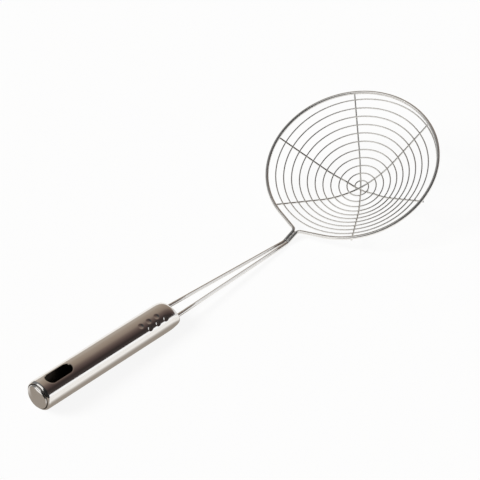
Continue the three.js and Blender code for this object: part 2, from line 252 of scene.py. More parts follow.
class Workshop:
    """Turns points, rings and node trees into finished pieces."""

    SHARP_ANGLE = math.radians(38.0)
    MERGE_DISTANCE = 1e-7

    @staticmethod
    def link(name: str, mesh: bpy.types.Mesh) -> Thing:
        """Makes an object of a mesh and puts it in the scene.

        Args:
            name: the object's name.
            mesh: its mesh.

        Returns:
            The object.
        """
        made = bpy.data.objects.new(name, mesh)
        bpy.context.scene.collection.objects.link(made)
        return made

    @staticmethod
    def skin(name: str, shape: bmesh.types.BMesh) -> Thing:
        """Turns an edited shape into an object.

        Args:
            name: the object's name.
            shape: the shape, which is freed.

        Returns:
            The object, in the scene.
        """
        mesh = bpy.data.meshes.new(name)
        shape.to_mesh(mesh)
        shape.free()
        return Workshop.link(name, mesh)

    @staticmethod
    def host(name: str, points: list[Vector], joined: bool = False) -> Thing:
        """Makes an object of bare points for a node tree to work on.

        Args:
            name: the object's name.
            points: its points.
            joined: whether each point is joined to the next.

        Returns:
            The object, in the scene.
        """
        mesh = bpy.data.meshes.new(name)
        edges = [(place, place + 1) for place in range(len(points) - 1)] if joined else []
        mesh.from_pydata([tuple(point) for point in points], edges, [])
        return Workshop.link(name, mesh)

    @staticmethod
    def settle(made: Thing) -> None:
        """Turns what an object's modifiers make of it into its own mesh.

        Args:
            made: the object.
        """
        graph = bpy.context.evaluated_depsgraph_get()
        graph.update()
        shaped = made.evaluated_get(graph)
        mesh = bpy.data.meshes.new_from_object(shaped, preserve_all_data_layers=True, depsgraph=graph)
        made.modifiers.clear()
        spent = made.data
        made.data = mesh
        bpy.data.meshes.remove(spent)

    @staticmethod
    def grow(made: Thing, group: Group, values: dict[str, object]) -> None:
        """Runs a geometry tree on an object and keeps the result as its plain mesh.

        Args:
            made: the object.
            group: the tree.
            values: what the tree's named inputs take.
        """
        modifier = made.modifiers.new(group.tree.name, "NODES")
        modifier.node_group = group.tree
        for item in group.tree.interface.items_tree:
            if item.in_out == "INPUT" and item.name in values:
                modifier[item.identifier] = values[item.name]
        Workshop.settle(made)

    @staticmethod
    def finish(made: Thing, place: Matrix, slot: Slot, *nodes: str) -> None:
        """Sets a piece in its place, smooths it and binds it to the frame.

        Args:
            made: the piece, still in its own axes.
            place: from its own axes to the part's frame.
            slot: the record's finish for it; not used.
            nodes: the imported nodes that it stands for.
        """
        made.data.transform(place)
        made.data.shade_smooth()
        made.data.set_sharp_from_angle(angle=Workshop.SHARP_ANGLE)
        made.data.update()
        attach(made, ROOT_BODY)
        if nodes:
            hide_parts(*nodes)
        LOG.info("%s: %d faces", made.name, len(made.data.polygons))

    @staticmethod
    def turned(name: str, rings: list[np.ndarray], closed: bool, inner_from: int,
               materials: list[Material]) -> Thing:
        """Joins rings of points into a closed skin.

        Args:
            name: the object's name.
            rings: one array of points for each ring, with a single point at a pole.
            closed: whether the last ring joins the first.
            inner_from: the first band that has the second finish.
            materials: the outer and the inner finish.

        Returns:
            The object, in the scene.
        """
        shape = bmesh.new()
        rows = [[shape.verts.new(point) for point in ring] for ring in rings]
        bands = list(zip(rows, rows[1:]))
        if closed:
            bands.append((rows[-1], rows[0]))
        for place, (first, second) in enumerate(bands):
            count = max(len(first), len(second))
            for step in range(count):
                after = (step + 1) % count
                corners = [first[step % len(first)], first[after % len(first)]]
                corners += [second[after % len(second)], second[step % len(second)]]
                face = shape.faces.new(list(dict.fromkeys(corners)))
                face.material_index = int(place >= inner_from)
        bmesh.ops.remove_doubles(shape, verts=shape.verts[:], dist=Workshop.MERGE_DISTANCE)
        bmesh.ops.recalc_face_normals(shape, faces=shape.faces[:])
        made = Workshop.skin(name, shape)
        for material in materials:
            made.data.materials.append(material)
        return made


class Effects:
    """The shader groups that several finishes share."""

    LINE_DETAIL = 3.0
    MARK_DETAIL = 4.0
    MARK_RANGE = (0.46, 0.72)

    def __init__(self) -> None:
        """Builds each group once."""
        self.lines = self.drawing_lines()
        self.marks = self.handling_marks()

    def drawing_lines(self) -> Group:
        """Builds the fine lines along Z that drawing or polishing leaves.

        Returns:
            The group, which puts out one mask.
        """
        group = Group("Drawing lines", TreeKind.SHADER)
        (vector,) = group.takes(SocketKind.VECTOR, "Vector")
        fineness, stretch = group.takes(SocketKind.FLOAT, "Fineness", "Stretch")
        scale = group.vector(fineness, fineness, group.math("MULTIPLY", fineness, stretch))
        drawn = group.add("ShaderNodeVectorMath", {0: vector, 1: scale}, operation="MULTIPLY").outputs[0]
        noise = group.add("ShaderNodeTexNoise", {"Vector": drawn, "Scale": 1.0, "Detail": self.LINE_DETAIL})
        group.gives(SocketKind.FLOAT, "Lines", noise.outputs[0])
        return group

    def handling_marks(self) -> Group:
        """Builds the soft patches where washing and handling have left a film.

        Returns:
            The group, which puts out one mask.
        """
        group = Group("Handling marks", TreeKind.SHADER)
        (vector,) = group.takes(SocketKind.VECTOR, "Vector")
        (density,) = group.takes(SocketKind.FLOAT, "Density")
        patches = {"Vector": vector, "Scale": density, "Detail": self.MARK_DETAIL}
        noise = group.add("ShaderNodeTexNoise", patches)
        mask = group.fit(noise.outputs[0], self.MARK_RANGE, (0.0, 1.0), "SMOOTHSTEP")
        group.gives(SocketKind.FLOAT, "Marks", mask)
        return group


@dataclass(frozen=True)
class Finish:
    """A surface with fine lines along its grain and a faint film from handling."""

    name: str
    colour: Colour
    film_colour: Colour
    metallic: float
    roughness: Span
    haze: float
    fineness: float
    stretch: float
    mark_density: float
    bump: float
    grain: Grain
    handle_rise: float = 0.0

    LINE_RANGE = (0.3, 0.7)
    BUMP_DEPTH = 0.02 * MM

    def pattern(self, nodes: Nodes) -> Socket:
        """Gives the coordinates that the lines follow.

        Args:
            nodes: the material's nodes.

        Returns:
            A vector whose Z runs along the grain.
        """
        if self.grain is Grain.WIRE:
            return nodes.add("ShaderNodeAttribute", {}, attribute_name=WIRE_SPACE).outputs["Vector"]
        here = nodes.add("ShaderNodeTexCoord", {}).outputs["Object"]
        if self.grain is Grain.PLAIN:
            return here
        turn = (0.0, QUARTER_TURN - self.handle_rise, 0.0)
        return nodes.add("ShaderNodeMapping", {"Vector": here, "Rotation": turn}).outputs[0]

    def material(self, effects: Effects) -> Material:
        """Builds the finish.

        Args:
            effects: the shared shader groups.

        Returns:
            The material.
        """
        made = bpy.data.materials.new(self.name)
        nodes = Nodes.start(made)
        vector = self.pattern(nodes)
        fibre = {"Vector": vector, "Fineness": self.fineness, "Stretch": self.stretch}
        lines = nodes.place(effects.lines, fibre)
        film = nodes.place(effects.marks, {"Vector": vector, "Density": self.mark_density})
        tint = nodes.mix(film, self.colour, self.film_colour)
        polish = nodes.fit(lines, self.LINE_RANGE, self.roughness)
        rough = nodes.math("ADD", polish, nodes.math("MULTIPLY", film, self.haze))
        depth = {"Height": lines, "Strength": self.bump, "Distance": self.BUMP_DEPTH}
        relief = nodes.add("ShaderNodeBump", depth).outputs[0]
        sockets = {"Base Color": tint, "Metallic": self.metallic, "Roughness": rough, "Normal": relief}
        surface = nodes.add("ShaderNodeBsdfPrincipled", sockets)
        nodes.add("ShaderNodeOutputMaterial", {"Surface": surface.outputs[0]})
        return made


def mount(name: str) -> dict:
    """Finds one of the record's mounts by its name."""
    return next(entry for entry in frame["record"]["mounts"] if entry["name"] == name)


@dataclass(frozen=True)
class DimpleRow:
    """One row of dimples: its first one's distance from the nose, its turn from the top, and its depth."""

    start: float
    turn: float
    depth: float


@dataclass(frozen=True)
class Handle:
    """The tube with its pressed nose, dimples and hanging slot, its end cap and the plug behind its nose."""

    length: float = 142.4 * MM
    slope: float = math.radians(28.0)
    tube_diameter: float = 24.0 * MM
    tube_wall: float = 1.0 * MM
    end_start: float = 137.6 * MM
    end_radius: float = 3.0 * MM
    end_opening: float = 21.4 * MM
    lip_edge: float = 0.25 * MM
    nose_length: float = 14.0 * MM
    nose_fullness: float = 3.0
    nose_shoulder: float = 2.5 * MM
    mouth_inset: float = 1.6 * MM
    mouth_height: float = 8.2 * MM
    slot_length: float = 25.0 * MM
    slot_width: float = 10.0 * MM
    slot_from_end: float = 22.4 * MM
    slot_turn: float = math.radians(5.0)
    slot_roll: float = 1.2 * MM
    slot_roll_depth: float = 0.15 * MM
    dimple_diameter: float = 4.6 * MM
    dimple_shoulder: float = 0.05 * MM
    dimple_pitch: float = 8.5 * MM
    dimples_per_row: int = 3
    dimple_rows: tuple[DimpleRow, ...] = (
        DimpleRow(20.7 * MM, math.radians(24.0), 0.52 * MM),
        DimpleRow(14.5 * MM, math.radians(48.5), 0.36 * MM),
    )
    cap_top: float = 143.7 * MM
    cap_dome: float = 19.0 * MM
    cap_edge: float = 1.5 * MM
    cap_flange: float = 4.0 * MM
    cap_wall: float = 1.0 * MM
    seat_gap: float = 0.3 * MM
    segments: int = 228
    cap_segments: int = 128
    nose_steps: int = 48
    edge_steps: int = 12
    cutter_steps: int = 24
    fine_step: float = 0.32 * MM
    plain_step: float = 3.0 * MM

    @property
    def curl_middle(self) -> float:
        """How far the middle of the rolled-in end's arc is from the handle's axis."""
        return self.tube_diameter / 2 - self.end_radius

    @property
    def curl_turn(self) -> float:
        """How far the tube's end is rolled in, as an angle."""
        return math.acos((self.end_opening / 2 - self.curl_middle) / self.end_radius)

    def way(self) -> Vector:
        """The direction from the mouth to the cap, from the cap's mount."""
        return Vector(mount("cap_face")["axis"]).normalized()

    def rise(self) -> float:
        """How far the handle climbs towards its cap, as an angle."""
        return math.asin(self.way().z)

    def mouth(self) -> Vector:
        """The middle of the tube's mouth, from the slot's mount."""
        return Vector(mount("hanging_slot")["pos_m"]) - self.way() * (self.length - self.slot_from_end)

    def place(self) -> Matrix:
        """From the handle's own axes (across, along, up) to the part's frame.

        Returns:
            The matrix that sets a piece in its place.
        """
        along = self.way()
        top = ACROSS.cross(along)
        turn = Matrix((ACROSS, along, top)).transposed().to_4x4()
        return Matrix.Translation(self.mouth()) @ turn

    def bearings(self, count: int) -> np.ndarray:
        """Angles round the tube, from its top towards the dimples."""
        return np.linspace(0.0, FULL_TURN, count, endpoint=False)

    def ring(self, along: float, across: float, up: float, count: int,
             depth: np.ndarray | float = 0.0) -> np.ndarray:
        """Gives one oval ring of points round the handle's axis.

        Args:
            along: how far the ring is from the mouth.
            across: half its width.
            up: half its height.
            count: the number of points.
            depth: how far it is pressed in, all over or at each point.

        Returns:
            The points, in the handle's own axes.
        """
        angles = self.bearings(count)
        x = (depth - across) * np.sin(angles)
        z = (up - depth) * np.cos(angles)
        return np.stack([x, np.full(count, along), z], axis=1)

    def nose(self, radius: float, start: float) -> list[Point]:
        """Gives one surface of the pressed nose.

        Args:
            radius: the surface's radius on the round tube.
            start: where the surface starts, from the mouth.

        Returns:
            Distance from the mouth, half width and half height of each ring, starting at the mouth.
        """
        mouth_across = self.tube_diameter / 2 - self.mouth_inset
        mouth_up = self.mouth_height / 2
        found = []
        for turn in np.linspace(0.0, QUARTER_TURN, self.nose_steps):
            along = start + (self.nose_length - start) * (1.0 - math.cos(turn))
            share = min((along - start) / (self.nose_shoulder - start), 1.0)
            widened = math.sqrt(1.0 - (1.0 - share) ** 2)
            across = mouth_across + (radius - mouth_across) * widened
            raised = math.sqrt(1.0 - math.cos(turn) ** self.nose_fullness)
            found.append((along, across, mouth_up + (radius - mouth_up) * raised))
        return found

    def curl(self, radius: float, turns: np.ndarray) -> list[Point]:
        """Gives one surface of the rolled-in end, as nose does, from its bend radius and each ring's turn."""
        reaches = self.curl_middle + radius * np.cos(turns)
        return list(zip(self.end_start + radius * np.sin(turns), reaches, reaches))

    def pit(self, along: float, angles: np.ndarray) -> np.ndarray:
        """Gives how far the dimples press the skin in.

        Args:
            along: the distance from the mouth.
            angles: the bearings round the tube.

        Returns:
            The depth at each bearing.
        """
        radius = self.tube_diameter / 2
        foot = self.dimple_diameter / 2
        depth = np.zeros_like(angles)
        for row in self.dimple_rows:
            ball = (foot ** 2 + row.depth ** 2) / (2 * row.depth)
            round_off = radius * ((angles - row.turn + HALF_TURN) % FULL_TURN - HALF_TURN)
            for place in range(self.dimples_per_row):
                off = along - row.start - place * self.dimple_pitch
                bowl = row.depth - (off ** 2 + round_off ** 2) / (2 * ball)
                depth += self.dimple_shoulder * np.logaddexp(0.0, bowl / self.dimple_shoulder)
        return depth

    def roll(self, along: float, angles: np.ndarray) -> np.ndarray:
        """Gives how far the skin is rolled in round the top of the slot.

        Args:
            along: the distance from the mouth.
            angles: the bearings round the tube.

        Returns:
            The depth at each bearing.
        """
        radius = self.tube_diameter / 2
        off = angles - self.slot_turn
        side = np.abs(radius * np.sin(off))
        straight = (self.slot_length - self.slot_width) / 2
        past = max(abs(along - self.length + self.slot_from_end) - straight, 0.0)
        edge = np.hypot(past, side) - self.slot_width / 2
        share = np.clip(1.0 - edge / self.slot_roll, 0.0, 1.0)
        return np.where(np.cos(off) > 0.0, self.slot_roll_depth * share ** 2, 0.0)

    def stations(self) -> list[Point]:
        """Gives the tube's outer surface.

        Returns:
            Distance from the mouth, half width and half height of each ring, from the mouth to the far end.
        """
        radius = self.tube_diameter / 2
        found = self.nose(radius, 0.0)[:-1]
        reach = self.dimple_diameter
        last = max(row.start for row in self.dimple_rows) + (self.dimples_per_row - 1) * self.dimple_pitch
        middle = self.length - self.slot_from_end
        half = self.slot_length / 2 + 2 * self.slot_roll
        bounds = [self.nose_length, last + reach, middle - half, middle + half, self.end_start]
        for place, (low, high) in enumerate(zip(bounds, bounds[1:])):
            step = self.plain_step if place % 2 else self.fine_step
            count = max(round((high - low) / step), 2)
            found += [(along, radius, radius) for along in np.linspace(low, high, count, endpoint=False)]
        last_turn = self.curl_turn - self.lip_edge / self.end_radius
        found += self.curl(self.end_radius, np.linspace(0.0, last_turn, self.edge_steps))
        return found + self.curl(self.end_radius - self.lip_edge, np.array([self.curl_turn]))

    def tube(self, outer: Material, inner: Material) -> None:
        """Builds the tube and cuts its slot.

        Args:
            outer: the polished finish.
            inner: the bore's finish: duller steel, darkened as painted shade inside the tube.
        """
        angles = self.bearings(self.segments)
        rings = []
        for along, across, up in self.stations():
            depth = self.pit(along, angles) + self.roll(along, angles)
            rings.append(self.ring(along, across, up, self.segments, depth))
        inner_from = len(rings)
        bore = self.tube_diameter / 2 - self.tube_wall
        turns = np.linspace(self.curl_turn, 0.0, self.edge_steps)
        lining = self.curl(self.end_radius - self.tube_wall, turns)
        straight = np.linspace(self.end_start, self.nose_length, self.nose_steps)[1:-1]
        lining += [(along, bore, bore) for along in straight]
        lining += self.nose(bore, self.tube_wall)[::-1]
        rings += [self.ring(along, across, up, self.segments) for along, across, up in lining]
        made = Workshop.turned("handle_shell", rings, True, inner_from, [outer, inner])
        self.cut_slot(made)
        Workshop.finish(made, self.place(), Slot.HANDLE, "handle_tube")

    def cut_slot(self, made: Thing) -> None:
        """Cuts the hanging slot through both walls of the tube.

        Args:
            made: the tube.
        """
        half = self.slot_width / 2
        straight = (self.slot_length - self.slot_width) / 2
        middle = self.length - self.slot_from_end
        outline = []
        for end in (1.0, -1.0):
            for turn in np.linspace(0.0, HALF_TURN, self.cutter_steps):
                along = middle + end * (straight + half * math.sin(turn))
                outline.append((end * half * math.cos(turn), along))
        levels = (-self.tube_diameter, self.tube_diameter)
        turn = Matrix.Rotation(-self.slot_turn, 3, "Y")
        shape = bmesh.new()
        low, high = [[shape.verts.new(turn @ Vector((x, y, level))) for x, y in outline] for level in levels]
        shape.faces.new(low)
        shape.faces.new(high)
        for place in range(len(outline)):
            after = (place + 1) % len(outline)
            shape.faces.new((low[place], low[after], high[after], high[place]))
        bmesh.ops.recalc_face_normals(shape, faces=shape.faces[:])
        cutter = Workshop.skin("slot_cutter", shape)
        cut = made.modifiers.new("slot", "BOOLEAN")
        cut.operation = "DIFFERENCE"
        cut.solver = "EXACT"
        cut.object = cutter
        Workshop.settle(made)
        bpy.data.meshes.remove(cutter.data)

    def cap(self, outer: Material, inner: Material) -> None:
        """Builds the end cap: a low dome in the rolled-in end and a flange behind it.

        Args:
            outer: the polished finish.
            inner: the bore's finish for its hidden sides: duller steel, darkened as painted shade.
        """
        lip = self.curl(self.end_radius - self.tube_wall, np.array([self.curl_turn]))[0]
        reach = lip[1] - self.seat_gap
        flange = self.tube_diameter / 2 - self.tube_wall - self.seat_gap
        edge_at = reach - self.cap_edge
        lean = math.asin(edge_at / (self.cap_dome - self.cap_edge))
        middle = self.cap_top - self.cap_dome
        side = middle + (self.cap_dome - self.cap_edge) * math.cos(lean)
        outline = []
        for turn in np.linspace(0.0, lean, self.edge_steps, endpoint=False):
            outline.append((self.cap_dome * math.sin(turn), middle + self.cap_dome * math.cos(turn)))
        for turn in np.linspace(lean, QUARTER_TURN, self.edge_steps):
            outline.append((edge_at + self.cap_edge * math.sin(turn), side + self.cap_edge * math.cos(turn)))
        inner_from = len(outline) - 1
        foot = self.end_start - self.cap_flange
        outline += [(reach, self.end_start + flange - reach), (flange, self.end_start), (flange, foot)]
        outline += [(flange - self.cap_wall, foot), (flange - self.cap_wall, self.end_start - self.cap_wall)]
        outline += [(reach - self.cap_wall, self.end_start), (0.0, self.end_start)]
        rings = []
        for reach, along in outline:
            rings.append(self.ring(along, reach, reach, self.cap_segments if reach else 1))
        made = Workshop.turned("handle_cap", rings, False, inner_from, [outer, inner])
        Workshop.finish(made, self.place(), Slot.HANDLE, "end_cap")

    def plug(self, plastic: Material) -> None:
        """Gives the plug in the tube's nose its finish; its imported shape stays.

        Args:
            plastic: the finish.
        """
        node = frame["nodes"]["wire_plug"]
        node.data.materials.clear()
        node.data.materials.append(plastic)
        LOG.info("wire_plug: packed shape kept, finish %s", plastic.name)

    def build(self, effects: Effects) -> None:
        """Builds and dresses the handle's pieces, with the shared effects.

        Args:
            effects: the shared shader groups.
        """
        polished = Finish(
            name="polished_tube", colour=(0.92, 0.91, 0.9), film_colour=(0.89, 0.87, 0.85), metallic=1.0,
            roughness=(0.05, 0.11), haze=0.05, fineness=2600.0, stretch=0.012, mark_density=70.0, bump=0.12,
            grain=Grain.HANDLE, handle_rise=self.rise(),
        ).material(effects)
        # The bore's finish is rougher steel whose colour is darkened far below the outer steel's: painted
        # shade inside the tube and behind the slot.
        shaded_dull = Finish(
            name="bore_painted_shade", colour=(0.16, 0.15, 0.14), film_colour=(0.1, 0.09, 0.085), metallic=1.0,
            roughness=(0.45, 0.6), haze=0.1, fineness=1800.0, stretch=0.03, mark_density=90.0, bump=0.3,
            grain=Grain.HANDLE, handle_rise=self.rise(),
        ).material(effects)
        plastic = Finish(
            name="moulded_plug", colour=(0.03, 0.03, 0.032), film_colour=(0.045, 0.045, 0.047), metallic=0.0,
            roughness=(0.45, 0.6), haze=0.08, fineness=2200.0, stretch=1.0, mark_density=120.0, bump=0.4,
            grain=Grain.PLAIN,
        ).material(effects)
        self.tube(polished, shaded_dull)
        self.cap(polished, shaded_dull)
        self.plug(plastic)


@dataclass(frozen=True)
class Rib:
    """One rib wire: the bearings of its two ends, and how many wires it passes under in the middle."""

    name: str
    bearings: Span
    below: int


@dataclass(frozen=True)
class Dish:
    """The rim wire with its stems, the crossed ribs, the spiral wire and their welds."""

    rim_radius: float = 75.0 * MM
    rim_wire: float = 3.0 * MM
    rib_wire: float = 1.6 * MM
    spiral_wire: float = 1.2 * MM
    gap: float = 0.3 * MM
    bowl_radius: float = 66.0 * MM
    wall_slope: float = math.radians(33.0)
    crossing_span: float = 16.0 * MM
    rib_tuck: float = 0.8 * MM
    pitch: float = 7.36 * MM
    spiral_start: float = 3.9 * MM
    spiral_end_bearing: float = math.radians(-55.0)
    run_out: float = 2.4 * MM
    run_out_turns: float = 0.3
    rim_straight: float = math.radians(18.0)
    neck_length: float = 14.9 * MM
    neck_rise: float = 1.0 * MM
    neck_bend: float = 4.0 * MM
    stem_bend: float = 9.0 * MM
    mouth_bend: float = 40.0 * MM
    stem_length: float = 140.6 * MM
    stem_slope: float = math.radians(29.4)
    stem_spacing: float = 13.4 * MM
    stem_depth: float = 45.0 * MM
    ribs: tuple[Rib, ...] = (
        Rib("rib_1", (math.radians(152.7), math.radians(334.3)), 0),
        Rib("rib_2", (math.radians(97.4), math.radians(270.7)), 2),
        Rib("rib_3", (math.radians(35.9), math.radians(217.2)), 1),
    )
    rim_steps: int = 360
    bend_steps: int = 14
    rim_sides: int = 20
    rib_steps: int = 140
    rib_sides: int = 14
    turn_steps: int = 110
    spiral_sides: int = 12
    bead_radius: float = 0.72 * MM
    bead_height: float = 0.7
    bead_segments: int = 10
    bead_rings: int = 6
    bead_spread: Span = (0.85, 1.15)
    bead_seed: int = 7
    neck_beads: int = 4

    BOWL_INPUTS = ("Bowl radius", "Wall slope", "Bowl height")
    RANDOM_LEAST = 2
    RANDOM_MOST = 3
    RANDOM_SEED = 8
    RANDOM_SIZE = 1

    @property
    def rim_lift(self) -> float:
        """How far the middle of the rim wire is above the middle of a rib's end."""
        return (self.rim_wire + self.rib_wire) / 2 + self.gap

    @property
    def spiral_lift(self) -> float:
        """How far the middle of the spiral wire is above the middle of a rib."""
        return (self.spiral_wire + self.rib_wire) / 2 + self.gap

    @property
    def rib_run(self) -> float:
        """The way along a rib from the middle of the dish to the rim.

        Returns:
            The length, along the rib's bend.
        """
        end = self.rim_radius + self.rim_lift * math.sin(self.wall_slope)
        wall = (end - self.bowl_radius * math.sin(self.wall_slope)) / math.cos(self.wall_slope)
        return self.bowl_radius * self.wall_slope + wall

    @property
    def bowl_height(self) -> float:
        """How far the middle of the round bottom's sphere is above the rim.

        Returns:
            The height.
        """
        wall = self.rib_run - self.bowl_radius * self.wall_slope
        round_part = (self.bowl_radius - self.rim_lift) * math.cos(self.wall_slope)
        return round_part - wall * math.sin(self.wall_slope)

    @property
    def spiral_end(self) -> float:
        """The way along a rib at which the spiral ends against the rim."""
        reach = (self.rim_wire + self.spiral_wire) / 2 + self.gap
        return self.rib_run - math.sqrt(reach ** 2 - (self.rim_lift - self.spiral_lift) ** 2)

    @property
    def turns(self) -> float:
        """How many turns the spiral makes."""
        return (self.spiral_end - self.run_out - self.spiral_start) / self.pitch

    def bowl(self) -> dict[str, float]:
        """The inputs that give every tree the dish's form."""
        return dict(zip(self.BOWL_INPUTS, (self.bowl_radius, self.wall_slope, self.bowl_height)))

    def dish_point(self) -> Group:
        """Builds the rule that the whole dish follows: a round bottom that runs on as a straight wall.

        Returns:
            The group, from run, lift and bearing to a position.
        """
        group = Group("Dish point", TreeKind.GEOMETRY)
        run, lift, bearing = group.takes(SocketKind.FLOAT, "Run", "Lift", "Bearing")
        bowl, slope, height = group.takes(SocketKind.FLOAT, *self.BOWL_INPUTS)
        angle = group.math("MINIMUM", group.math("DIVIDE", run, bowl), slope)
        past = group.math("SUBTRACT", run, group.math("MULTIPLY", bowl, slope))
        wall = group.math("MAXIMUM", past, 0.0)
        reach = group.math("SUBTRACT", bowl, lift)
        out = group.math("MULTIPLY", reach, group.math("SINE", angle))
        out = group.math("ADD", out, group.math("MULTIPLY", wall, group.math("COSINE", slope)))
        drop = group.math("MULTIPLY", reach, group.math("COSINE", angle))
        climb = group.math("MULTIPLY", wall, group.math("SINE", slope))
        level = group.math("ADD", group.math("SUBTRACT", height, drop), climb)
        x = group.math("MULTIPLY", out, group.math("COSINE", bearing))
        y = group.math("MULTIPLY", out, group.math("SINE", bearing))
        group.gives(SocketKind.VECTOR, "Position", group.vector(x, y, level))
        return group

    def drawn_wire(self) -> Group:
        """Builds the sweep that gives a path its round wire, and keeps where each point lies along it.

        Returns:
            The group, from a curve to a wire.
        """
        group = Group("Drawn wire", TreeKind.GEOMETRY)
        (curve,) = group.takes(SocketKind.SHAPE, "Curve")
        diameter, sides, material = group.takes_wire()
        radius = group.math("DIVIDE", diameter, 2.0)
        length = group.add("GeometryNodeSplineParameter", {}).outputs["Length"]
        path = group.stored(curve, "along", length)
        circle = group.add("GeometryNodeCurvePrimitiveCircle", {"Resolution": sides, "Radius": radius})
        place = group.add("GeometryNodeInputIndex", {}).outputs[0]
        angle = group.math("MULTIPLY", group.math("DIVIDE", place, sides), FULL_TURN)
        section = group.stored(circle.outputs[0], "around", angle)
        sockets = {"Curve": path, "Profile Curve": section, "Fill Caps": True}
        wire = group.add("GeometryNodeCurveToMesh", sockets).outputs[0]
        along, around = [group.kept(name) for name in ("along", "around")]
        x = group.math("MULTIPLY", radius, group.math("COSINE", around))
        y = group.math("MULTIPLY", radius, group.math("SINE", around))
        wire = group.stored(wire, WIRE_SPACE, group.vector(x, y, along), "FLOAT_VECTOR")
        for name in ("along", "around"):
            wire = group.add("GeometryNodeRemoveAttribute", {"Geometry": wire, "Name": name}).outputs[0]
        group.gives(SocketKind.SHAPE, "Wire", group.dressed(wire, material))
        return group

    def on_dish(self, group: Group, point: Group, run: Socket, bearing: Socket, lift: Term = 0.0) -> Socket:
        """Finds a place on the dish, in a tree that takes the dish's form.

        Args:
            group: the tree.
            point: the dish's rule.
            run: the way along a rib from the middle of the dish.
            bearing: the bearing from that middle.
            lift: how far the place is above the middle of a rib.

        Returns:
            The socket with the position.
        """
        form = zip(self.BOWL_INPUTS, group.takes(SocketKind.FLOAT, *self.BOWL_INPUTS))
        return group.place(point, {"Run": run, "Bearing": bearing, "Lift": lift, **dict(form)})

    @staticmethod
    def swept(group: Group, sweep: Group, path: Socket, spot: Socket, wire: list[Socket]) -> None:
        """Moves a path's points to their places and sweeps the wire along it, as the tree's output.

        Args:
            group: the tree.
            sweep: the wire's sweep.
            path: the bare path.
            spot: the place of each point.
            wire: the wire's own inputs.
        """
        moved = group.add("GeometryNodeSetPosition", {"Geometry": path, "Position": spot}).outputs[0]
        sockets = {"Curve": moved, **dict(zip(WIRE_INPUTS, wire))}
        group.gives(SocketKind.SHAPE, "Geometry", group.place(sweep, sockets))

    def rib_tree(self, point: Group, sweep: Group) -> Group:
        """Builds the tree of one rib.

        Args:
            point: the dish's rule.
            sweep: the wire's sweep.

        Returns:
            The tree.
        """
        group = Group("Rib wire", TreeKind.GEOMETRY)
        names = ("Reach", "First bearing", "Other bearing", "Dip", "Dip span")
        reach, first, other, dip, span = group.takes(SocketKind.FLOAT, *names)
        (steps,) = group.takes(SocketKind.COUNT, "Steps")
        path, share = group.line(steps)
        centred = group.math("SUBTRACT", group.math("MULTIPLY", share, 2.0), 1.0)
        run = group.math("MULTIPLY", centred, reach)
        far = group.math("LESS_THAN", run, 0.0)
        bearing = group.math("ADD", first, group.math("MULTIPLY", group.math("SUBTRACT", other, first), far))
        spot = self.on_dish(group, point, group.math("ABSOLUTE", run), bearing)
        near = group.math("POWER", group.math("DIVIDE", run, span), 2.0)
        near = group.math("MAXIMUM", group.math("SUBTRACT", 1.0, near), 0.0)
        depth = group.math("MULTIPLY", dip, group.math("POWER", near, 2.0))
        sink = group.vector(0.0, 0.0, depth)
        spot = group.add("ShaderNodeVectorMath", {0: spot, 1: sink}, operation="SUBTRACT").outputs[0]
        self.swept(group, sweep, path, spot, group.takes_wire())
        return group

    def spiral_tree(self, point: Group, sweep: Group) -> Group:
        """Builds the tree of the spiral.

        Args:
            point: the dish's rule.
            sweep: the wire's sweep.

        Returns:
            The tree.
        """
        group = Group("Spiral wire", TreeKind.GEOMETRY)
        names = ("Start", "Pitch", "Turns", "Run out", "Run out turns", "End bearing", "Lift")
        start, pitch, turns, out, out_turns, end, lift = group.takes(SocketKind.FLOAT, *names)
        (steps,) = group.takes(SocketKind.COUNT, "Steps")
        path, share = group.line(steps)
        turn = group.math("MULTIPLY", share, turns)
        left = group.math("SUBTRACT", turns, turn)
        bearing = group.math("ADD", end, group.math("MULTIPLY", left, FULL_TURN))
        leaving = group.fit(left, (out_turns, 0.0), (0.0, out), "SMOOTHSTEP")
        run = group.math("ADD", start, group.math("MULTIPLY", pitch, turn))
        run = group.math("ADD", run, leaving)
        spot = self.on_dish(group, point, run, bearing, lift)
        self.swept(group, sweep, path, spot, group.takes_wire())
        return group

    def path_tree(self, sweep: Group) -> Group:
        """Builds the tree that sweeps the rim wire along the object's own line of points.

        Args:
            sweep: the wire's sweep.

        Returns:
            The tree.
        """
        group = Group("Bent wire", TreeKind.GEOMETRY)
        (shape,) = group.takes(SocketKind.SHAPE, "Geometry")
        path = group.add("GeometryNodeMeshToCurve", {"Mesh": shape}).outputs[0]
        sockets = {"Curve": path, **dict(zip(WIRE_INPUTS, group.takes_wire()))}
        group.gives(SocketKind.SHAPE, "Geometry", group.place(sweep, sockets))
        return group

    def seat_tree(self, point: Group) -> Group:
        """Builds the tree that sets points of run, bearing and lift on the dish.

        Args:
            point: the dish's rule.

        Returns:
            The tree.
        """
        group = Group("Seats on the dish", TreeKind.GEOMETRY)
        (shape,) = group.takes(SocketKind.SHAPE, "Geometry")
        here = group.add("GeometryNodeInputPosition", {}).outputs[0]
        run, bearing, lift = group.add("ShaderNodeSeparateXYZ", {0: here}).outputs
        spot = self.on_dish(group, point, run, bearing, lift)
        moved = group.add("GeometryNodeSetPosition", {"Geometry": shape, "Position": spot}).outputs[0]
        group.gives(SocketKind.SHAPE, "Geometry", moved)
        return group

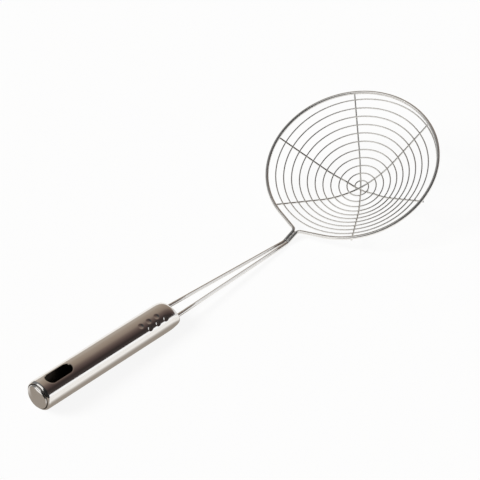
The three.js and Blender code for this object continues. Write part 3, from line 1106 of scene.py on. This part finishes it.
    def bead_tree(self) -> Group:
        """Builds the tree that puts a small flattened weld on each point.

        Returns:
            The tree.
        """
        group = Group("Weld beads", TreeKind.GEOMETRY)
        (shape,) = group.takes(SocketKind.SHAPE, "Geometry")
        names = ("Radius", "Flatness", "Least", "Most", "Bowl height")
        radius, flatness, least, most, height = group.takes(SocketKind.FLOAT, *names)
        segments, rings, seed = group.takes(SocketKind.COUNT, "Segments", "Rings", "Seed")
        (material,) = group.takes(SocketKind.MATERIAL, "Material")
        sockets = {"Segments": segments, "Rings": rings, "Radius": radius}
        ball = group.add("GeometryNodeMeshUVSphere", sockets).outputs[0]
        pressed = group.vector(1.0, 1.0, flatness)
        flat = group.add("GeometryNodeTransform", {"Geometry": ball, "Scale": pressed})
        here = group.add("GeometryNodeInputPosition", {}).outputs[0]
        centre = group.vector(0.0, 0.0, height)
        inward = group.add("ShaderNodeVectorMath", {0: centre, 1: here}, operation="SUBTRACT").outputs[0]
        facing = group.add("FunctionNodeAlignRotationToVector", {"Vector": inward}, axis="Z").outputs[0]
        draw = {self.RANDOM_LEAST: least, self.RANDOM_MOST: most, self.RANDOM_SEED: seed}
        size = group.add("FunctionNodeRandomValue", draw, data_type="FLOAT").outputs[self.RANDOM_SIZE]
        sockets = {"Points": shape, "Instance": flat.outputs[0], "Rotation": facing, "Scale": size}
        beads = group.add("GeometryNodeInstanceOnPoints", sockets).outputs[0]
        group.gives(SocketKind.SHAPE, "Geometry", group.dressed(beads, material))
        return group

    def place(self, handle: Handle) -> Matrix:
        """From the tool's own axes, with the rim level, to the part's frame."""
        turn = Matrix.Rotation(handle.rise() - handle.slope, 4, "Y")
        return Matrix.Translation(handle.mouth() - turn @ self.mouth()) @ turn

    def neck_offset(self) -> float:
        """How far each rim wire is from the middle at the neck."""
        return (self.rim_wire + self.gap) / 2

    def neck_start(self) -> Vector:
        """Where the two ends of the rim meet at the neck.

        Returns:
            The place, in the tool's own axes.
        """
        corner = self.rim_point(self.rim_straight)
        reach = corner.x + (corner.y - self.neck_offset()) * math.tan(self.rim_straight)
        return Vector((-reach, 0.0, 0.0))

    def neck_end(self) -> Vector:
        """Where the neck bends up into the stems."""
        return self.neck_start() + Vector((-self.neck_length, 0.0, self.neck_rise))

    def mouth(self) -> Vector:
        """The middle of the handle's mouth, in the tool's own axes."""
        way = Vector((-math.cos(self.stem_slope), 0.0, math.sin(self.stem_slope)))
        return self.neck_end() + way * self.stem_length

    def rim_point(self, bearing: float) -> Vector:
        """A point on the rim."""
        return Vector((self.rim_radius * math.cos(bearing), self.rim_radius * math.sin(bearing), 0.0))

    def tail(self, side: float, handle: Handle) -> list[Vector]:
        """Gives one end of the rim wire, from inside the handle to the rim.

        Args:
            side: 1 for the wire on +Y, -1 for the other.
            handle: the handle that holds it.

        Returns:
            The points of its path.
        """
        way = Vector((-math.cos(handle.slope), 0.0, math.sin(handle.slope)))
        across = ACROSS * side
        stem = self.mouth() + across * (self.stem_spacing / 2)
        offset = across * self.neck_offset()
        corners = [stem + way * self.stem_depth, stem, self.neck_end() + offset]
        corners += [self.neck_start() + offset, self.rim_point(side * (HALF_TURN - self.rim_straight))]
        bends = (self.mouth_bend, self.stem_bend, self.neck_bend)
        points = [corners[0]]
        for place, bend in enumerate(bends, start=1):
            points += self.rounded(corners[place - 1], corners[place], corners[place + 1], bend)
        return points

    def rounded(self, before: Vector, corner: Vector, after: Vector, bend: float) -> list[Vector]:
        """Rounds one corner of a path.

        Args:
            before: the corner before it.
            corner: the corner.
            after: the corner after it.
            bend: the radius of the bend.

        Returns:
            The points of the bend.
        """
        back = (before - corner).normalized()
        on = (after - corner).normalized()
        half = back.angle(on) / 2
        middle = corner + (back + on).normalized() * (bend / math.sin(half))
        first = corner + back * (bend / math.tan(half)) - middle
        last = corner + on * (bend / math.tan(half)) - middle
        shares = np.linspace(0.0, 1.0, self.bend_steps + 1)
        return [middle + first.slerp(last, share) * bend for share in shares]

    def rim_path(self, handle: Handle) -> list[Vector]:
        """Gives the whole path of the rim wire, from one stem round the rim to the other.

        Args:
            handle: the handle that holds the stems.

        Returns:
            The points of the path.
        """
        start = HALF_TURN - self.rim_straight
        hoop = [self.rim_point(bearing) for bearing in np.linspace(-start, start, self.rim_steps)]
        return self.tail(-1.0, handle) + hoop + self.tail(1.0, handle)[::-1]

    @staticmethod
    def eased(share: float) -> float:
        """Carries a share from 0 to 1 along the smooth step that the spiral's run-out follows."""
        return share ** 2 * (3 - 2 * share)

    def weld_seats(self) -> list[Vector]:
        """Gives where the wires touch each other on the dish.

        Returns:
            Run, bearing and lift of each weld.
        """
        seat = (self.rib_wire + self.gap) / 2
        found = []
        for bearing in [end for rib in self.ribs for end in rib.bearings]:
            found.append(Vector((self.rib_run - self.rib_tuck, bearing, seat)))
            left = ((bearing - self.spiral_end_bearing) / FULL_TURN) % 1.0
            while left < self.turns:
                turn = self.turns - left
                share = min(max(1.0 - left / self.run_out_turns, 0.0), 1.0)
                leaving = self.run_out * self.eased(share)
                found.append(Vector((self.spiral_start + self.pitch * turn + leaving, bearing, seat)))
                left += 1.0
        found += [Vector((0.0, 0.0, -seat * (2 * layer + 1))) for layer in range(len(self.ribs) - 1)]
        return found

    def neck_seats(self) -> list[Vector]:
        """Gives the welds that hold the two rim wires together at the neck, in the tool's own axes."""
        shares = (np.arange(self.neck_beads) + 0.5) / self.neck_beads
        return [self.neck_start().lerp(self.neck_end(), share) for share in shares]

    def build(self, effects: Effects, handle: Handle) -> None:
        """Builds and dresses the dish's pieces.

        Args:
            effects: the shared shader groups.
            handle: the handle that carries the dish.
        """
        rim = Finish(
            name="drawn_rim_wire", colour=(0.88, 0.875, 0.865), film_colour=(0.82, 0.81, 0.79), metallic=0.93,
            roughness=(0.1, 0.2), haze=0.06, fineness=5200.0, stretch=0.02, mark_density=60.0, bump=0.15,
            grain=Grain.WIRE,
        ).material(effects)
        fine = Finish(
            name="drawn_fine_wire", colour=(0.86, 0.86, 0.85), film_colour=(0.78, 0.775, 0.755), metallic=1.0,
            roughness=(0.14, 0.24), haze=0.08, fineness=7000.0, stretch=0.02, mark_density=90.0, bump=0.15,
            grain=Grain.WIRE,
        ).material(effects)
        weld = Finish(
            name="weld_metal", colour=(0.62, 0.58, 0.54), film_colour=(0.42, 0.36, 0.31), metallic=1.0,
            roughness=(0.25, 0.4), haze=0.1, fineness=2400.0, stretch=1.0, mark_density=500.0, bump=0.5,
            grain=Grain.PLAIN,
        ).material(effects)
        point, sweep = self.dish_point(), self.drawn_wire()
        place = self.place(handle)
        self.rim_and_stems(sweep, rim, place, handle)
        self.rib_wires(self.rib_tree(point, sweep), fine, place)
        self.spiral_turns(self.spiral_tree(point, sweep), fine, place)
        self.weld_spots(point, weld, place)

    def rim_and_stems(self, sweep: Group, material: Material, place: Matrix, handle: Handle) -> None:
        """Builds the rim wire with its stems.

        Args:
            sweep: the wire's sweep.
            material: its finish.
            place: from the tool's axes to the part's frame.
            handle: the handle that holds the stems.
        """
        made = Workshop.host("rim_and_stems", self.rim_path(handle), True)
        values = {"Diameter": self.rim_wire, "Sides": self.rim_sides, "Material": material}
        Workshop.grow(made, self.path_tree(sweep), values)
        Workshop.finish(made, place, Slot.RIM, "rim_wire")

    def rib_wires(self, tree: Group, material: Material, place: Matrix) -> None:
        """Builds the three ribs.

        Args:
            tree: the tree of one rib.
            material: their finish.
            place: from the tool's axes to the part's frame.
        """
        for rib in self.ribs:
            made = Workshop.host(rib.name + "_wire", [])
            values = {"Reach": self.rib_run - self.rib_tuck, "Dip": rib.below * (self.rib_wire + self.gap)}
            values |= {"First bearing": rib.bearings[0], "Other bearing": rib.bearings[1]}
            values |= {"Dip span": self.crossing_span, "Diameter": self.rib_wire, "Steps": self.rib_steps}
            values |= {"Sides": self.rib_sides, "Material": material, **self.bowl()}
            Workshop.grow(made, tree, values)
            Workshop.finish(made, place, Slot.WIRE, rib.name)

    def spiral_turns(self, tree: Group, material: Material, place: Matrix) -> None:
        """Builds the spiral.

        Args:
            tree: the spiral's tree.
            material: its finish.
            place: from the tool's axes to the part's frame.
        """
        made = Workshop.host("spiral_turns", [])
        values = {"Start": self.spiral_start, "Pitch": self.pitch, "Turns": self.turns}
        values |= {"Run out": self.run_out, "Run out turns": self.run_out_turns}
        values |= {"End bearing": self.spiral_end_bearing}
        values |= {"Lift": self.spiral_lift, "Diameter": self.spiral_wire, "Sides": self.spiral_sides}
        values |= {"Steps": round(self.turns * self.turn_steps), "Material": material, **self.bowl()}
        Workshop.grow(made, tree, values)
        Workshop.finish(made, place, Slot.WIRE, "spiral_wire")

    def weld_spots(self, point: Group, material: Material, place: Matrix) -> None:
        """Builds the welds between the wires.

        Args:
            point: the dish's rule.
            material: their finish.
            place: from the tool's axes to the part's frame.
        """
        seats = Workshop.host("weld_seats", self.weld_seats())
        Workshop.grow(seats, self.seat_tree(point), self.bowl())
        spots = [vertex.co.copy() for vertex in seats.data.vertices] + self.neck_seats()
        bpy.data.meshes.remove(seats.data)
        made = Workshop.host("weld_spots", spots)
        values = {"Radius": self.bead_radius, "Flatness": self.bead_height, "Least": self.bead_spread[0]}
        values |= {"Most": self.bead_spread[1], "Bowl height": self.bowl_height, "Seed": self.bead_seed}
        values |= {"Segments": self.bead_segments, "Rings": self.bead_rings, "Material": material}
        Workshop.grow(made, self.bead_tree(), values)
        Workshop.finish(made, place, Slot.WIRE)


@dataclass(frozen=True)
class Studio:
    """The pale floor with a painted shadow in its reflections, the glowing card over the stems that only
    reflections show, the key light, the room and the camera.
    """

    aim: Point = (17.92 * MM, 10.49 * MM, 25.59 * MM)
    distance: float = 1314.04 * MM
    azimuth: float = math.radians(-49.741)
    elevation: float = math.radians(38.631)
    roll: float = math.radians(2.681)
    lens: float = 120.0
    sensor: float = 36.0
    floor_reach: float = 6.0
    floor_colour: Colour = (0.93, 0.93, 0.93)
    floor_share: float = 0.9
    # The floor colour that reflections show near the handle and past its end is painted shadow; further off
    # they show the cream floor.
    painted_shadow_floor: Colour = (0.33, 0.29, 0.25)
    far_floor: Colour = (0.92, 0.9, 0.87)
    nose_at: float = -76.0 * MM
    painted_shadow_reach: Span = (18.0 * MM, 45.0 * MM)
    painted_shadow_past_end: Span = (-240.0 * MM, -215.0 * MM)
    key_way: Point = (-0.7, 0.35, 0.62)
    key_strength: float = 3.2
    key_spread: float = math.radians(24.0)
    key_colour: Colour = (0.95, 0.93, 0.9)
    strip_middle: float = 0.27
    strip_side: Span = (0.36, 0.46)
    strip_end: Span = (-0.4, -0.2)
    strip_low: Span = (0.08, 0.18)
    strip_high: Span = (0.3, 0.42)
    warm_side: Span = (0.15, 0.45)
    grey_share: float = 0.5
    low_light: Span = (0.21, 0.24)
    low_front: Span = (-0.3, 0.0)
    white: Colour = (1.0, 1.0, 1.0)
    card_along: Span = (-38.0 * MM, 66.0 * MM)
    card_across: Span = (-65.0 * MM, 4.0 * MM)
    card_heights: Span = (29.0 * MM, 19.0 * MM)
    card_strength: float = 0.8
    room: tuple[tuple[float, Colour], ...] = (
        (0.10, (0.050, 0.040, 0.037)),
        (0.20, (0.034, 0.026, 0.024)),
        (0.28, (0.066, 0.046, 0.042)),
        (0.375, (0.105, 0.075, 0.066)),
        (0.475, (0.160, 0.118, 0.100)),
        (0.585, (0.260, 0.205, 0.165)),
        (0.695, (0.310, 0.250, 0.200)),
        (0.80, (0.350, 0.290, 0.235)),
        (0.90, (0.430, 0.375, 0.320)),
    )

    def floor(self) -> None:
        """Builds the floor, white to the camera apart from a faint shadow; to reflections it is cream, with a
        painted shadow near the handle and past its end.
        """
        shape = bmesh.new()
        bmesh.ops.create_grid(shape, x_segments=2, y_segments=2, size=self.floor_reach)
        made = Workshop.skin("floor", shape)
        material = bpy.data.materials.new("pale_floor")
        nodes = Nodes.start(material)
        rays = nodes.add("ShaderNodeLightPath", {}).outputs
        seen = nodes.math("MULTIPLY", rays["Is Camera Ray"], self.floor_share)
        share = nodes.math("MAXIMUM", seen, rays["Is Glossy Ray"])
        here = nodes.add("ShaderNodeTexCoord", {}).outputs["Object"]
        x, y, _ = nodes.add("ShaderNodeSeparateXYZ", {0: here}).outputs
        # Darker towards the handle's line and past its end: a painted shadow in what the steel reflects.
        past = nodes.math("MAXIMUM", nodes.math("SUBTRACT", x, self.nose_at), 0.0)
        squares = nodes.math("ADD", nodes.math("MULTIPLY", past, past), nodes.math("MULTIPLY", y, y))
        far = nodes.fit(nodes.math("SQRT", squares), self.painted_shadow_reach, (0.0, 1.0), "SMOOTHSTEP")
        far = nodes.math("MULTIPLY", far, nodes.fit(x, self.painted_shadow_past_end, (0.0, 1.0), "SMOOTHSTEP"))
        paper = nodes.add("ShaderNodeBsdfDiffuse", {"Color": (*self.floor_colour, 1.0)}).outputs[0]
        reflected_floor_with_painted_shadow = nodes.mix(far, self.painted_shadow_floor, self.far_floor)
        shown = nodes.mix(rays["Is Camera Ray"], reflected_floor_with_painted_shadow, self.white)
        glow = nodes.add("ShaderNodeEmission", {"Color": shown, "Strength": 1.0}).outputs[0]
        both = nodes.add("ShaderNodeMixShader", {0: share, 1: paper, 2: glow}).outputs[0]
        nodes.add("ShaderNodeOutputMaterial", {"Surface": both})
        made.data.materials.append(material)

    def card(self) -> None:
        """Builds the glowing card over the stems, which only reflections show: a painted reflection that
        lights nothing.
        """
        right, left = self.card_across
        back, front = zip(self.card_along, self.card_heights)
        corners = [(along, side, height) for (along, height), side in
                   ((back, right), (front, right), (front, left), (back, left))]
        shape = bmesh.new()
        shape.faces.new([shape.verts.new(corner) for corner in corners])
        made = Workshop.skin("card", shape)
        material = bpy.data.materials.new("glossy_only_glow_card")
        nodes = Nodes.start(material)
        # The card glows by itself and hides from camera, diffuse light and shadows: it only paints a bright
        # reflection on the steel.
        paint = {"Color": (*self.white, 1.0), "Strength": self.card_strength}
        glow = nodes.add("ShaderNodeEmission", paint).outputs[0]
        nodes.add("ShaderNodeOutputMaterial", {"Surface": glow})
        made.data.materials.append(material)
        made.visible_camera = False
        made.visible_diffuse = False
        made.visible_shadow = False
        made.visible_transmission = False

    def key(self) -> None:
        """Builds the soft key light."""
        lamp = bpy.data.lights.new("key", "SUN")
        lamp.energy = self.key_strength
        lamp.angle = self.key_spread
        made = bpy.data.objects.new("key", lamp)
        made.rotation_euler = Vector(self.key_way).to_track_quat("Z", "Y").to_euler()
        made.visible_glossy = False
        bpy.context.scene.collection.objects.link(made)

    def surroundings(self) -> None:
        """Builds the room that the steel reflects, with its white window and its two strips of light."""
        world = bpy.data.worlds.new("studio")
        bpy.context.scene.world = world
        nodes = Nodes.start(world)
        way = nodes.add("ShaderNodeTexCoord", {}).outputs["Generated"]
        along, depth, height = nodes.add("ShaderNodeSeparateXYZ", {0: way}).outputs
        ramp = nodes.add("ShaderNodeValToRGB", {0: nodes.fit(depth, (-1.0, 1.0), (0.0, 1.0))})
        stops = ramp.color_ramp.elements
        while len(stops) < len(self.room):
            stops.new(1.0)
        for stop, (at, colour) in zip(stops, self.room):
            stop.position = at
            stop.color = (*colour, 1.0)
        low = nodes.fit(height, self.low_light, (1.0, 0.0), "SMOOTHSTEP")
        front = nodes.fit(depth, self.low_front, (1.0, 0.0), "SMOOTHSTEP")
        grey = nodes.add("ShaderNodeRGBToBW", {0: ramp.outputs[0]}).outputs[0]
        grey = nodes.math("MULTIPLY", grey, self.grey_share)
        warm = nodes.fit(along, self.warm_side, (0.0, 1.0), "SMOOTHSTEP")
        room = nodes.mix(warm, grey, ramp.outputs[0])
        window = nodes.math("MULTIPLY", nodes.math("MULTIPLY", low, front), warm)
        room = nodes.mix(window, room, self.white)
        off = nodes.math("ABSOLUTE", nodes.math("SUBTRACT", depth, self.strip_middle))
        inside = nodes.fit(off, self.strip_side, (1.0, 0.0), "SMOOTHSTEP")
        near = nodes.fit(along, self.strip_end, (1.0, 0.0), "SMOOTHSTEP")
        low_strip = nodes.fit(height, self.strip_low, (1.0, 0.0), "SMOOTHSTEP")
        high_strip = nodes.fit(height, self.strip_high, (0.0, 1.0), "SMOOTHSTEP")
        strips = nodes.math("ADD", low_strip, high_strip)
        lit = nodes.math("MULTIPLY", nodes.math("MULTIPLY", inside, near), strips)
        room = nodes.mix(lit, room, self.key_colour)
        seen = nodes.add("ShaderNodeLightPath", {}).outputs["Is Camera Ray"]
        sky = nodes.add("ShaderNodeBackground", {"Color": nodes.mix(seen, room, self.white), "Strength": 1.0})
        nodes.add("ShaderNodeOutputWorld", {"Surface": sky.outputs[0]})

    def camera(self) -> None:
        """Sets the camera at the photograph's place, with its slight roll."""
        flat = math.cos(self.elevation)
        side, ahead = math.sin(self.azimuth) * flat, -math.cos(self.azimuth) * flat
        back = Vector((side, ahead, math.sin(self.elevation)))
        level = UP.cross(back).normalized()
        upright = back.cross(level)
        right = level * math.cos(self.roll) + upright * math.sin(self.roll)
        turn = Matrix((right, back.cross(right), back)).transposed().to_4x4()
        data = bpy.data.cameras.new("camera")
        data.lens = self.lens
        data.sensor_width = self.sensor
        made = bpy.data.objects.new("camera", data)
        made.matrix_world = Matrix.Translation(Vector(self.aim) + back * self.distance) @ turn
        bpy.context.scene.collection.objects.link(made)
        bpy.context.scene.camera = made

    def build(self) -> None:
        """Builds the studio."""
        self.floor()
        self.card()
        self.key()
        self.surroundings()
        self.camera()
        bpy.context.scene.view_settings.view_transform = "Standard"
        LOG.info("studio: floor, card, key light, room and camera")


def main() -> None:
    """Builds the strainer and its studio."""
    logging.basicConfig(level=logging.INFO, format="%(name)s %(message)s")
    effects = Effects()
    handle = Handle()
    handle.build(effects)
    Dish().build(effects, handle)
    Studio().build()


if __name__ == "__main__":
    main()
